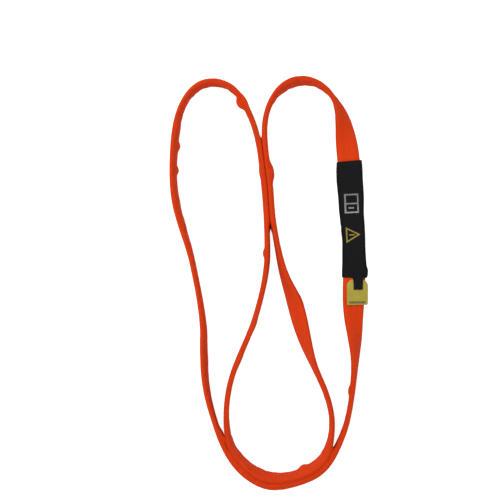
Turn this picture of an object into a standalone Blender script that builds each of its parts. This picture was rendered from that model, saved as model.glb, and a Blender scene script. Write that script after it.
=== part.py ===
"""Endless webbing lanyard: a closed loop of flat tubular jacket over a core of yarn strands.

The loop lies on the floor plane z = 0 in three lobes. A black label sleeve covers the place where
the jacket's two ends lap, and an identity tag hangs on a short tab at the sleeve's lower hem.
All lengths are in metres. The loop is followed by the distance s along its centreline, which is 0
at the sleeve's lower hem and grows through the sleeve. Across the band, p is measured along its
width and q along its thickness.
"""

import math

import bmesh
import bpy
import numpy as np
from mathutils import Matrix, Vector

# The band: half the width, half the thickness and the wall of the woven jacket.
BAND_HALF_WIDTH = 0.0145
BAND_HALF_THICKNESS = 0.0033
JACKET_WALL = 0.0006

# The load-bearing yarn inside the jacket, in strands side by side.
STRAND_OFFSETS = (-0.0087, 0.0, 0.0087)
STRAND_HALF_WIDTH = 0.0039
STRAND_HALF_THICKNESS = 0.0019

# The lap, where the jacket's last end slips over its first end.
LAP_RAMP_START = 0.100
LAP_START = 0.112
LAP_END = 0.142
LAP_GROWTH = 0.0008
LAP_STITCH_PLACES = (0.119, 0.135)

# The label sleeve, which widens over the lap.
SLEEVE_LENGTH = 0.1506
SLEEVE_WALL = 0.0009
SLEEVE_GAP = 0.0003
SLEEVE_RAMP_START = 0.078
SLEEVE_RAMP_END = 0.112
SLEEVE_GROWTH_WIDTH = 0.0010
SLEEVE_GROWTH_THICKNESS = 0.0014
HEM_STITCH_PLACES = (0.004, 0.1465)

# How far on each side of the sleeve the band takes to settle back to the floor.
SETTLE_BEFORE = 0.030
SETTLE_AFTER = 0.035

# Thread and print, which stand a little proud of what they lie on.
THREAD_WIDTH = 0.0008
THREAD_HEIGHT = 0.0004
PRINT_THICKNESS = 0.00025
SURFACE_GAP = 0.00015

# The tab and the tag. The flap hinge runs across the tab where it leaves the hem.
TAB_CENTRE_X = 0.1152
TAB_HALF_WIDTH = 0.0060
TAB_LENGTH = 0.0150
TAB_THICKNESS = 0.0010
TAG_CENTRE_X = 0.1142
TAG_HALF_WIDTH = 0.0139
TAG_TOP_Y = 0.0044
TAG_LENGTH = 0.0335
TAG_THICKNESS = 0.0012
TAG_TOP_RADIUS = 0.0095
TAG_CORNER_RADIUS = 0.0012
TAG_GAP = 0.0005
TAG_RISE = 0.0014
GRID_STEP = 0.005
HINGE_Y = 0.0054
HINGE_Z = 0.0102
STITCH_INSET = 0.0014
STITCH_REACH = 0.0090
LINE_INSET = 0.0018
LINE_HALF_WIDTH = 0.0108
LINE_HEIGHT = 0.0030

# How closely the sections stand along the loop: the longest step, and the most that the band may
# turn or lean between two sections.
LONGEST_STEP = 0.080
MOST_TURN = math.radians(15)
MOST_LEAN = math.radians(6)

# The loop's centreline seen from above, and how far the band leans: 0 on its edge, 90 flat. A
# positive lean carries its upper edge to the left of the direction of travel.
ROUTE = (
    (0.1104, 0.0070, 90),
    (0.1074, 0.0821, 90),
    (0.1032, 0.1561, 90),
    (0.0978, 0.1967, 55),
    (0.0920, 0.2210, 28),
    (0.0816, 0.2405, 8),
    (0.0625, 0.2567, -2),
    (0.0376, 0.2604, -11),
    (0.0195, 0.2533, -11),
    (0.0050, 0.2385, -3),
    (-0.0055, 0.2076, 0),
    (-0.0050, 0.1740, 0),
    (-0.0009, 0.1391, 0),
    (0.0015, 0.1215, 0),
    (0.0035, 0.0938, 0),
    (0.0058, 0.0738, 1),
    (0.0099, 0.0500, 2),
    (0.0146, 0.0270, 8),
    (0.0212, 0.0041, 17),
    (0.0298, -0.0180, 31),
    (0.0369, -0.0406, 38),
    (0.0432, -0.0644, 31),
    (0.0498, -0.0863, 19),
    (0.0587, -0.1098, 6),
    (0.0684, -0.1314, 2),
    (0.0761, -0.1522, 0),
    (0.0810, -0.1840, -2),
    (0.0794, -0.2010, 1),
    (0.0732, -0.2220, 8),
    (0.0506, -0.2424, 10),
    (0.0160, -0.2525, 10),
    (-0.0106, -0.2488, 13),
    (-0.0351, -0.2306, 9),
    (-0.0503, -0.2084, 7),
    (-0.0548, -0.1877, 3),
    (-0.0555, -0.1660, 0),
    (-0.0479, -0.1205, 0),
    (-0.0211, -0.0538, 0),
    (-0.0139, -0.0304, 0),
    (-0.0029, 0.0292, 4),
    (-0.0027, 0.0530, 3),
    (-0.0054, 0.1068, 0),
    (-0.0109, 0.1600, 0),
    (-0.0150, 0.1850, 0),
    (-0.0210, 0.2060, 0),
    (-0.0296, 0.2257, 0),
    (-0.0522, 0.2533, -2),
    (-0.0861, 0.2561, -6),
    (-0.1095, 0.2339, -4),
    (-0.1201, 0.2007, -7),
    (-0.1228, 0.1759, -8),
    (-0.1242, 0.1500, -6),
    (-0.1209, 0.1048, -8),
    (-0.1156, 0.0822, -7),
    (-0.1086, 0.0592, -5),
    (-0.1018, 0.0362, -2),
    (-0.0966, 0.0130, -1),
    (-0.0920, -0.0101, -1),
    (-0.0880, -0.0340, -3),
    (-0.0853, -0.0580, -5),
    (-0.0842, -0.1046, -8),
    (-0.0781, -0.1528, -3),
    (-0.0716, -0.1762, 0),
    (-0.0638, -0.1988, -1),
    (-0.0531, -0.2203, -4),
    (-0.0418, -0.2359, -6),
    (-0.0221, -0.2524, -8),
    (-0.0019, -0.2609, -8),
    (0.0329, -0.2576, -6),
    (0.0671, -0.2410, -7),
    (0.0909, -0.2061, 2),
    (0.0995, -0.1830, 4),
    (0.1048, -0.1584, 6),
    (0.1079, -0.1360, 8),
    (0.1101, -0.1127, 12),
    (0.1109, -0.0988, 18),
    (0.1105, -0.0648, 42),
    (0.1095, -0.0458, 57),
)


def closed_spline(knots, values, period):
    """A smooth periodic curve through values at knots, as a function of the knots' parameter."""
    count = len(knots)
    ends = np.append(knots, period)
    steps = np.diff(ends)
    following = np.roll(values, -1, axis=0)
    slopes = (following - values) / steps[:, None]
    matrix = np.zeros((count, count))
    for i in range(count):
        matrix[i, i - 1] += steps[i - 1]
        matrix[i, i] += 2 * (steps[i - 1] + steps[i])
        matrix[i, (i + 1) % count] += steps[i]
    bends = np.linalg.solve(matrix, 6 * (slopes - np.roll(slopes, 1, axis=0)))
    next_bends = np.roll(bends, -1, axis=0)

    def curve(at):
        wrapped = np.mod(np.atleast_1d(at), period)
        i = np.clip(np.searchsorted(ends, wrapped, side="right") - 1, 0, count - 1)
        step = steps[i][:, None]
        right = (wrapped - ends[i])[:, None] / step
        left = 1 - right
        cubic = (left**3 - left) * bends[i] + (right**3 - right) * next_bends[i]
        return left * values[i] + right * following[i] + cubic * step**2 / 6

    return curve


class Loop:
    """The band's centreline by distance s: its place, direction, lean and height."""

    def __init__(self, route):
        values = np.array(route, float)
        chords = np.linalg.norm(np.roll(values[:, :2], -1, axis=0) - values[:, :2], axis=1)
        knots = np.concatenate([[0], np.cumsum(chords)[:-1]])
        self.period = chords.sum()
        self.curve = closed_spline(knots, values, self.period)
        self.fine = np.linspace(0, self.period, 6001)
        places = self.curve(self.fine)[:, :2]
        self.along = np.append(0, np.cumsum(np.linalg.norm(np.diff(places, axis=0), axis=1)))
        self.length = self.along[-1]

    def values(self, s):
        """x, y and the lean in radians, at distances s."""
        parameter = np.interp(np.mod(s, self.length), self.along, self.fine)
        x, y, lean = self.curve(parameter).T
        return x, y, np.radians(np.minimum(lean, 90))

    def tangent(self, s):
        ahead = self.values(s + 0.0005)
        behind = self.values(s - 0.0005)
        return math.atan2(ahead[1][0] - behind[1][0], ahead[0][0] - behind[0][0])

    def stations(self):
        """Distances that stand closer where the band turns or leans, with every kink included."""
        s = self.along
        x, y, lean = self.values(s)
        heading = np.unwrap(np.arctan2(np.gradient(y), np.gradient(x)))
        turn = np.abs(np.gradient(heading, s)) / MOST_TURN
        tilt = np.abs(np.gradient(lean, s)) / MOST_LEAN
        density = 1 / LONGEST_STEP + turn + tilt
        measure = np.append(0, np.cumsum((density[1:] + density[:-1]) / 2 * np.diff(s)))
        count = math.ceil(measure[-1])
        even = np.interp(np.arange(count) / count * measure[-1], measure, s)
        kinks = np.array(KINKS + (self.length - SETTLE_BEFORE,))
        free = [d for d in even if np.abs(kinks - d).min() > 0.004]
        return np.sort(np.append(free, kinks))


KINKS = (
    0.0,
    HEM_STITCH_PLACES[0],
    SLEEVE_RAMP_START,
    LAP_RAMP_START,
    LAP_START,
    LAP_STITCH_PLACES[0],
    LAP_STITCH_PLACES[1],
    LAP_END,
    HEM_STITCH_PLACES[1],
    SLEEVE_LENGTH,
    SLEEVE_LENGTH + SETTLE_AFTER,
)
LOOP = Loop(ROUTE)
STATIONS = LOOP.stations()


def outline(half_width, half_thickness):
    """A flat section with soft edges, as (p, q) points."""
    edge = (half_width, 0.33 * half_thickness)
    shoulder = (half_width - 0.40 * half_thickness, 0.72 * half_thickness)
    flat = (half_width - 1.30 * half_thickness, half_thickness)
    upper = [edge, shoulder, flat]
    half = upper + [(-p, q) for p, q in reversed(upper)]
    return half + [(-p, -q) for p, q in half]


def strand_outline(offset):
    """The section of one core strand, six-sided, at its offset across the band."""
    side = [(STRAND_HALF_WIDTH, 0.0), (0.56 * STRAND_HALF_WIDTH, STRAND_HALF_THICKNESS)]
    half = side + [(-0.56 * STRAND_HALF_WIDTH, STRAND_HALF_THICKNESS)]
    ring = half + [(-p, -q) for p, q in half]
    return [(p + offset, q) for p, q in ring]


def sleeve_half(s):
    """Half the width and half the thickness of the sleeve's outer face at s."""
    share = np.interp(s, (SLEEVE_RAMP_START, SLEEVE_RAMP_END), (0, 1))
    cover = SLEEVE_GAP + SLEEVE_WALL
    width = BAND_HALF_WIDTH + cover + share * SLEEVE_GROWTH_WIDTH
    return width, BAND_HALF_THICKNESS + cover + share * SLEEVE_GROWTH_THICKNESS


def centre_height(s, lean):
    """The height of the centreline: on the floor by its own lean, or up inside the sleeve."""
    points = outline(BAND_HALF_WIDTH, BAND_HALF_THICKNESS)
    resting = max(p * math.cos(lean) + abs(q * math.sin(lean)) for p, q in points)
    lift_low = sleeve_half(0)[1] - BAND_HALF_THICKNESS
    lift_high = sleeve_half(SLEEVE_LENGTH)[1] - BAND_HALF_THICKNESS
    places = (-SETTLE_BEFORE, 0, SLEEVE_RAMP_START, SLEEVE_RAMP_END, SLEEVE_LENGTH)
    lifts = (0, lift_low, lift_low, lift_high, lift_high)
    wrapped = (s + SETTLE_BEFORE) % LOOP.length - SETTLE_BEFORE
    places += (SLEEVE_LENGTH + SETTLE_AFTER,)
    lifts += (0,)
    return resting + float(np.interp(wrapped, places, lifts))


class Frame:
    """The band's place at s, with its width and thickness directions."""

    def __init__(self, s):
        x, y, lean = (float(v[0]) for v in LOOP.values(np.array([s])))
        heading = LOOP.tangent(np.array([s]))
        left = Vector((-math.sin(heading), math.cos(heading), 0))
        up = Vector((0, 0, 1))
        self.centre = Vector((x, y, centre_height(s, lean)))
        self.width = left * math.sin(lean) + up * math.cos(lean)
        self.depth = up * math.sin(lean) - left * math.cos(lean)

    def point(self, p, q):
        return self.centre + self.width * p + self.depth * q


def material(name, colour, roughness):
    made = bpy.data.materials.new(name)
    made.use_nodes = True
    shader = made.node_tree.nodes["Principled BSDF"]
    shader.inputs["Base Color"].default_value = (*colour, 1)
    shader.inputs["Roughness"].default_value = roughness
    shader.inputs["Metallic"].default_value = 0.0
    return made


def add_object(name, mesh_builder, finish, smooth_angle=40):
    """One named object from a filled bmesh, with its faces turned outwards."""
    mesh = bpy.data.meshes.new(name)
    bmesh.ops.recalc_face_normals(mesh_builder, faces=mesh_builder.faces)
    mesh_builder.to_mesh(mesh)
    mesh_builder.free()
    mesh.shade_smooth()
    mesh.set_sharp_from_angle(angle=math.radians(smooth_angle))
    mesh.materials.append(finish)
    made = bpy.data.objects.new(name, mesh)
    bpy.context.scene.collection.objects.link(made)
    return made


def ring_of(builder, frame, section):
    return [builder.verts.new(frame.point(p, q)) for p, q in section]


def join_rings(builder, first, second):
    count = len(first)
    for i in range(count):
        j = (i + 1) % count
        builder.faces.new((first[i], first[j], second[j], second[i]))


def closed_tube(name, section, finish):
    """An endless solid that follows the whole loop."""
    builder = bmesh.new()
    rings = [ring_of(builder, Frame(s), section) for s in STATIONS]
    for i, ring in enumerate(rings):
        join_rings(builder, ring, rings[(i + 1) % len(rings)])
    return add_object(name, builder, finish)


def open_tube(name, stops, outer_at, inner_at, finish):
    """A hollow tube, open at both ends, along the stops."""
    builder = bmesh.new()
    frames = [Frame(s) for s in stops]
    outer = [ring_of(builder, f, outer_at(s)) for f, s in zip(frames, stops)]
    inner = [ring_of(builder, f, inner_at(s)) for f, s in zip(frames, stops)]
    for rings in (outer, inner):
        for first, second in zip(rings, rings[1:]):
            join_rings(builder, first, second)
    for end in (0, -1):
        join_rings(builder, outer[end], inner[end])
    return add_object(name, builder, finish)


def make_jacket(finish):
    """The woven tube, whose last end is a little wider and lies over its first end."""
    once = [s for s in STATIONS if s >= LAP_START]
    again = [s + LOOP.length for s in STATIONS if s <= LAP_END]
    start = LOOP.length + LAP_RAMP_START
    full = LOOP.length + LAP_START

    def growth(s):
        return float(np.interp(s, (start, full), (0, LAP_GROWTH)))

    def outer(s):
        return outline(BAND_HALF_WIDTH + growth(s), BAND_HALF_THICKNESS + growth(s))

    def inner(s):
        less = JACKET_WALL - growth(s)
        return outline(BAND_HALF_WIDTH - less, BAND_HALF_THICKNESS - less)

    return open_tube("jacket", once + again, outer, inner, finish)


def make_core(finish):
    for number, offset in enumerate(STRAND_OFFSETS, start=1):
        closed_tube(f"core_strand_{number}", strand_outline(offset), finish)


def make_sleeve(finish):
    stops = [s for s in STATIONS if s <= SLEEVE_LENGTH]

    def outer(s):
        return outline(*sleeve_half(s))

    def inner(s):
        width, thickness = sleeve_half(s)
        return outline(width - SLEEVE_WALL, thickness - SLEEVE_WALL)

    return open_tube("label_sleeve", stops, outer, inner, finish)


def make_thread_row(name, s, half_width, half_thickness, finish):
    """A row of thread across the band's upper face at s, following the section's shoulders."""
    under = outline(half_width + SURFACE_GAP, half_thickness + SURFACE_GAP)
    over = outline(
        half_width + SURFACE_GAP + THREAD_HEIGHT, half_thickness + SURFACE_GAP + THREAD_HEIGHT
    )
    builder = bmesh.new()
    frame = Frame(s)
    along = frame.width.cross(frame.depth).normalized() * (THREAD_WIDTH / 2)
    rings = []
    for i in range(1, 5):
        low = frame.point(*under[i])
        high = frame.point(*over[i])
        corners = (low - along, high - along, high + along, low + along)
        rings.append([builder.verts.new(corner) for corner in corners])
    for first, second in zip(rings, rings[1:]):
        join_rings(builder, first, second)
    builder.faces.new(rings[0])
    builder.faces.new(rings[-1])
    return add_object(name, builder, finish)


def fill_between(builder, loops):
    """The flat face between an outer loop of points and the loops of its holes."""
    edges = []
    for loop in loops:
        verts = [builder.verts.new((x, y, 0)) for x, y in loop]
        for i, vert in enumerate(verts):
            edges.append(builder.edges.new((vert, verts[(i + 1) % len(verts)])))
    bmesh.ops.triangle_fill(builder, use_beauty=True, edges=edges)
    return list(builder.faces)


def thicken(builder, faces, thickness):
    made = bmesh.ops.extrude_face_region(builder, geom=faces)
    moved = [g for g in made["geom"] if isinstance(g, bmesh.types.BMVert)]
    bmesh.ops.translate(builder, verts=moved, vec=(0, 0, thickness))


def make_print(name, loops, finish):
    """A thin printed shape on the sleeve's upper face, from loops of (right, along) points."""
    builder = bmesh.new()
    thicken(builder, fill_between(builder, loops), PRINT_THICKNESS)
    for vert in builder.verts:
        right, s, height = vert.co
        top = sleeve_half(s)[1] + SURFACE_GAP
        vert.co = Frame(s).point(-right, top + height)
    return add_object(name, builder, finish)


def box_loop(left, right, low, high):
    return [(left, low), (right, low), (right, high), (left, high)]


def make_prints(white, yellow):
    """A plain book outline and a plain triangle, each with a small mark inside."""
    page = [
        box_loop(-0.0092, 0.0092, 0.0830, 0.1080),
        box_loop(-0.0070, 0.0074, 0.0962, 0.1060),
        box_loop(-0.0070, 0.0074, 0.0850, 0.0944),
    ]
    make_print("book_print", page, white)
    make_print("book_mark_print", [box_loop(-0.0040, 0.0030, 0.0888, 0.0908)], white)
    triangle = [
        [(-0.0090, 0.0446), (0.0096, 0.0549), (-0.0090, 0.0652)],
        [(-0.0072, 0.0476), (0.0060, 0.0549), (-0.0072, 0.0622)],
    ]
    make_print("triangle_print", triangle, yellow)
    make_print("triangle_mark_print", [box_loop(-0.0048, 0.0022, 0.0541, 0.0557)], yellow)


def arc(centre_x, centre_y, radius, first, last, count):
    angles = [math.radians(first + (last - first) * i / count) for i in range(count + 1)]
    return [(centre_x + radius * math.cos(a), centre_y + radius * math.sin(a)) for a in angles]


def tag_loop():
    """The tag's outline seen from above, with wide upper corners and small lower ones."""
    left = TAG_CENTRE_X - TAG_HALF_WIDTH
    right = TAG_CENTRE_X + TAG_HALF_WIDTH
    low = TAG_TOP_Y - TAG_LENGTH
    big = TAG_TOP_RADIUS
    small = TAG_CORNER_RADIUS
    loop = arc(right - big, TAG_TOP_Y - big, big, 0, 90, 6)
    loop += arc(left + big, TAG_TOP_Y - big, big, 90, 180, 6)
    loop += arc(left + small, low + small, small, 180, 270, 2)
    loop += arc(right - small, low + small, small, 270, 360, 2)
    return loop


def band_top(x, y):
    """The height of the band's upper face near the sleeve's lower hem, below the hem line."""
    s = y - ROUTE[0][1]
    frame = Frame(s)
    across = (x - frame.centre.x) / frame.width.x
    return frame.point(across, BAND_HALF_THICKNESS).z


def drape(name, builder, base, finish):
    """Lays a flat shape over the band, base above its face and a little more towards its end."""
    for vert in builder.verts:
        x, y, height = vert.co
        rise = TAG_RISE * max(0, TAG_TOP_Y - y) / TAG_LENGTH
        vert.co.z = band_top(x, y) + base + rise + height
    return add_object(name, builder, finish)


def cut_into_grid(builder):
    """Cuts a flat shape along even lines of x and of y, so that it can bend between them."""
    corner = Vector((TAG_CENTRE_X, TAG_TOP_Y, 0))
    cuts = [(corner + Vector((k * GRID_STEP, 0, 0)), (1, 0, 0)) for k in range(-2, 3)]
    cuts += [(corner - Vector((0, k * GRID_STEP, 0)), (0, 1, 0)) for k in range(7)]
    for place, normal in cuts:
        geometry = builder.verts[:] + builder.edges[:] + builder.faces[:]
        bmesh.ops.bisect_plane(builder, geom=geometry, plane_co=place, plane_no=normal)


def plate(name, loops, base, thickness, finish):
    """A thin draped plate from flat loops seen from above."""
    builder = bmesh.new()
    fill_between(builder, loops)
    cut_into_grid(builder)
    thicken(builder, list(builder.faces), thickness)
    return drape(name, builder, base, finish)


def make_flap(black, thread, yellow, ink):
    """The tab, the tag under it, the box of stitches that joins them and the tag's ink line."""
    tag_top = TAG_GAP + TAG_THICKNESS
    tab_base = tag_top + 2 * SURFACE_GAP
    stitch_base = tab_base + TAB_THICKNESS + SURFACE_GAP
    low = HINGE_Y - TAB_LENGTH
    left = TAB_CENTRE_X - TAB_HALF_WIDTH
    right = TAB_CENTRE_X + TAB_HALF_WIDTH
    outer = box_loop(left + STITCH_INSET, right - STITCH_INSET, low + STITCH_INSET, low + STITCH_REACH)
    inside = STITCH_INSET + THREAD_WIDTH
    inner = box_loop(left + inside, right - inside, low + inside, low + STITCH_REACH - THREAD_WIDTH)
    line_low = TAG_TOP_Y - TAG_LENGTH + LINE_INSET
    line_left = TAG_CENTRE_X - LINE_HALF_WIDTH
    line_right = TAG_CENTRE_X + LINE_HALF_WIDTH
    line = box_loop(line_left, line_right, line_low, line_low + LINE_HEIGHT)
    pieces = (
        plate("id_tag", [tag_loop()], TAG_GAP, TAG_THICKNESS, yellow),
        plate("tag_tab", [box_loop(left, right, low, HINGE_Y)], tab_base, TAB_THICKNESS, black),
        plate("tab_stitch", [outer, inner], stitch_base, THREAD_HEIGHT, thread),
        plate("tag_line_print", [line], tag_top + SURFACE_GAP, PRINT_THICKNESS, ink),
    )
    hinge = bpy.data.objects.new("flap_hinge", None)
    bpy.context.scene.collection.objects.link(hinge)
    hinge.location = (TAB_CENTRE_X, HINGE_Y, HINGE_Z)
    for piece in pieces:
        piece.data.transform(Matrix.Translation(-hinge.location))
        piece.parent = hinge


def clear_scene():
    for item in list(bpy.data.objects):
        bpy.data.objects.remove(item, do_unlink=True)


def main():
    clear_scene()
    orange = material("woven_orange", (0.72, 0.062, 0.012), 0.75)
    yarn = material("core_yarn", (0.82, 0.80, 0.74), 0.8)
    black = material("label_black", (0.012, 0.013, 0.014), 0.7)
    black_thread = material("thread_black", (0.02, 0.02, 0.02), 0.6)
    orange_thread = material("thread_orange", (0.60, 0.05, 0.01), 0.6)
    white = material("print_white", (0.50, 0.52, 0.50), 0.6)
    yellow = material("print_yellow", (0.42, 0.36, 0.02), 0.6)
    tag_yellow = material("tag_yellow", (0.40, 0.33, 0.05), 0.55)
    ink = material("tag_ink", (0.03, 0.03, 0.02), 0.6)
    make_jacket(orange)
    make_core(yarn)
    for number, s in enumerate(LAP_STITCH_PLACES, start=1):
        half_width = BAND_HALF_WIDTH + LAP_GROWTH - THREAD_HEIGHT
        half_thickness = BAND_HALF_THICKNESS + LAP_GROWTH
        make_thread_row(f"jacket_stitch_{number}", s, half_width, half_thickness, orange_thread)
    make_sleeve(black)
    for place, s in zip(("lower", "upper"), HEM_STITCH_PLACES):
        make_thread_row(f"sleeve_hem_stitch_{place}", s, *sleeve_half(s), black_thread)
    make_prints(white, yellow)
    make_flap(black, black_thread, tag_yellow, ink)


main()
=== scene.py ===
"""The looks of the webbing loop lanyard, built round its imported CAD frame.

An orange band lies on its edge in three lobes and turns flat where a black label sleeve covers it.
A yellow tag hangs on a short black tab at the sleeve's lower hem. All lengths are in metres. The
loop is followed by the distance s along its centreline, which is 0 at the sleeve's lower hem and
grows through the sleeve. Across the band, p is measured along its width and q along its thickness.
"""

import math

import bmesh
import bpy
import numpy as np
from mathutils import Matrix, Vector


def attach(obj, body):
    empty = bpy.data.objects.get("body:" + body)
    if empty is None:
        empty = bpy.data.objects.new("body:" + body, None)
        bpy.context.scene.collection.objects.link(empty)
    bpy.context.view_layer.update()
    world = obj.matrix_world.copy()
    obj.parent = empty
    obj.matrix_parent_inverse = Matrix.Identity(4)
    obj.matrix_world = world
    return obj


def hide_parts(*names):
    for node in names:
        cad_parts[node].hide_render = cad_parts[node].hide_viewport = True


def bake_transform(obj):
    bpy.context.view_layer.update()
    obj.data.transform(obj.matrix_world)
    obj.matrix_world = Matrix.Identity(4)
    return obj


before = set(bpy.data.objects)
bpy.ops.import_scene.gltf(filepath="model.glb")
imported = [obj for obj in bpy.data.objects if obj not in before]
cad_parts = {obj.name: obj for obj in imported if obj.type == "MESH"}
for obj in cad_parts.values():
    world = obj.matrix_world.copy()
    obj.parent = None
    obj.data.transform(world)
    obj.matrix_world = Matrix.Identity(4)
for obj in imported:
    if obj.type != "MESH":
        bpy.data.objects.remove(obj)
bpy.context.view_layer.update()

# The camera looks straight down at this point of the floor, from this height, and sees a square
# of floor this wide.
VIEW_CENTRE = (-0.0250, 0.0421)
VIEW_HEIGHT = 1.65
VIEW_WIDTH = 0.652

# The floor is a wide grey sheet just under the object. It glows, so that it looks white all over,
# in the narrow gaps between strands too. The room round it lights everything evenly.
FLOOR_HALF_SIZE = 6.0
FLOOR_DEPTH = 0.0002
FLOOR_GREY = 0.36
FLOOR_GLOW = 0.90
ROOM_LIGHT = 0.70

# The band and the sleeve, as in the CAD. The cover is the sleeve's wall and its gap to the band.
BAND_HALF_WIDTH = 0.0145
BAND_HALF_THICKNESS = 0.0033
SLEEVE_LENGTH = 0.1506
SLEEVE_COVER = 0.0012
SLEEVE_WALL = 0.0009
SLEEVE_RAMP_START = 0.078
SLEEVE_RAMP_END = 0.112
SLEEVE_GROWTH_WIDTH = 0.0010
SLEEVE_GROWTH_THICKNESS = 0.0014
SETTLE_BEFORE = 0.030
SETTLE_AFTER = 0.035

# Corners of the band's section, as in the CAD: how far each lies in from the half width, and how
# high it is, both as shares of the half thickness. They decide how high a leaning band stands.
SECTION_CORNERS = ((0, 0.33), (0.40, 0.72), (1.30, 1.0))

# How far the band runs on inside the sleeve's mouths, how far from a mouth its wrinkles are at
# full height, its lowest level and the steps of its mesh.
TUCK = 0.016
MOUTH_FADE = 0.012
BAND_LOWEST = 0.00005
RING_STEP = 0.0020
RING_POINTS = 44

# The steps along the band over which its heading and its bend are measured.
HEADING_STEP = 0.0005
BEND_STEP = 0.004

# How far the loose jacket stands proud of the band's plain size. Below this place along Y the two
# strands of the lower bend are pressed flat against each other, fully so past this fade.
LOOSE_WIDTH = 0.0001
LOOSE_THICKNESS = 0.00022
PRESSED_BELOW = -0.210
PRESSED_FADE = 0.012

# Crosswise wrinkles: how high they are, the bend in radians a metre at which they are highest, and
# each wave's length and share. The core strands show as ridges of this height and pitch.
WRINKLE_HEIGHT = 0.00075
WRINKLE_BEND = 22
WRINKLE_WAVES = ((0.031, 0.26), (0.019, 0.30), (0.0121, 0.24), (0.0083, 0.14))
STRAND_RIDGE = 0.00010
STRAND_PITCH = 0.0087

# The gaps between two strands at which the soft jacket still swells to its neighbour, fully at the
# near one and not at all at the far one. Two points belong to different strands when they are
# further apart than this along the loop.
CONTACT_NEAR = 0.0022
CONTACT_FAR = 0.0034
STRAND_APART = 0.060

# The sleeve's mesh, the depth of its hems and the thread rows along them, which reach nearly across
# it. The CAD's rows are shorter.
SLEEVE_POINTS = 72
SLEEVE_STEP = 0.0012
SLEEVE_LOWEST = 0.00003
HEM_DEPTH = 0.0075
HEM_RISE = 0.0003
HEM_DROP = 0.0009
HEM_STITCH_PLACES = (0.0040, 0.1465)
STITCH_REACH = 0.0138
HEM_STITCH_PITCH = 0.0030
HEM_STITCH_SHARE = 0.80
HEM_THREAD_RADIUS = 0.00030

# The tab and the tag seen from above, and how high they lie over the band. The sizes are the CAD's,
# except that the tab ends 0.2 mm sooner, the tab runs on past the hinge to its root on the sleeve,
# and the tag's lower corners are 0.2 mm rounder.
TAB_CENTRE_X = 0.1152
TAB_HALF_WIDTH = 0.0060
TAB_LOW_Y = -0.0094
TAB_ROOT_Y = 0.0128
TAB_THICKNESS = 0.0010
TAB_BASE = 0.0020
HINGE_Y = 0.0054
TAG_CENTRE_X = 0.1142
TAG_HALF_WIDTH = 0.0139
TAG_TOP_Y = 0.0044
TAG_LENGTH = 0.0335
TAG_THICKNESS = 0.0012
TAG_TOP_RADIUS = 0.0095
TAG_CORNER_RADIUS = 0.0014
TAG_GAP = 0.0005
TAG_RISE = 0.0014

# Only the looks have these: the tab's rounded lower corners and the rim darkened with painted shade,
# how far from the hinge it drops to the tag and how far it bends, the tag's curled corners and soft
# waves, and half the width that the tag starts with at its upper end.
TAB_CORNER_RADIUS = 0.0010
TAB_RIM = 0.0062
TAB_DROP_REACH = 0.0030
TAG_CURL = 0.0007
TAG_WAVE = 0.00012
TAG_END_HALF_WIDTH = 0.003

# The plain bar printed on the tag, which is 0.2 mm lower in height than in the CAD and 0.1 mm
# further from the tag's lower end.
LINE_HALF_WIDTH = 0.0108
LINE_HEIGHT = 0.0028
LINE_INSET = 0.0019
LINE_THICKNESS = 0.00010
LINE_SINK = 0.00003

# The box of stitches that joins the tab and the tag.
BOX_LEFT, BOX_RIGHT = 0.1108, 0.1196
BOX_LOW, BOX_HIGH = -0.0080, -0.0008
BOX_STITCH_PITCH = 0.0022
BOX_STITCH_SHARE = 0.78
BOX_THREAD_RADIUS = 0.00026

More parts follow.
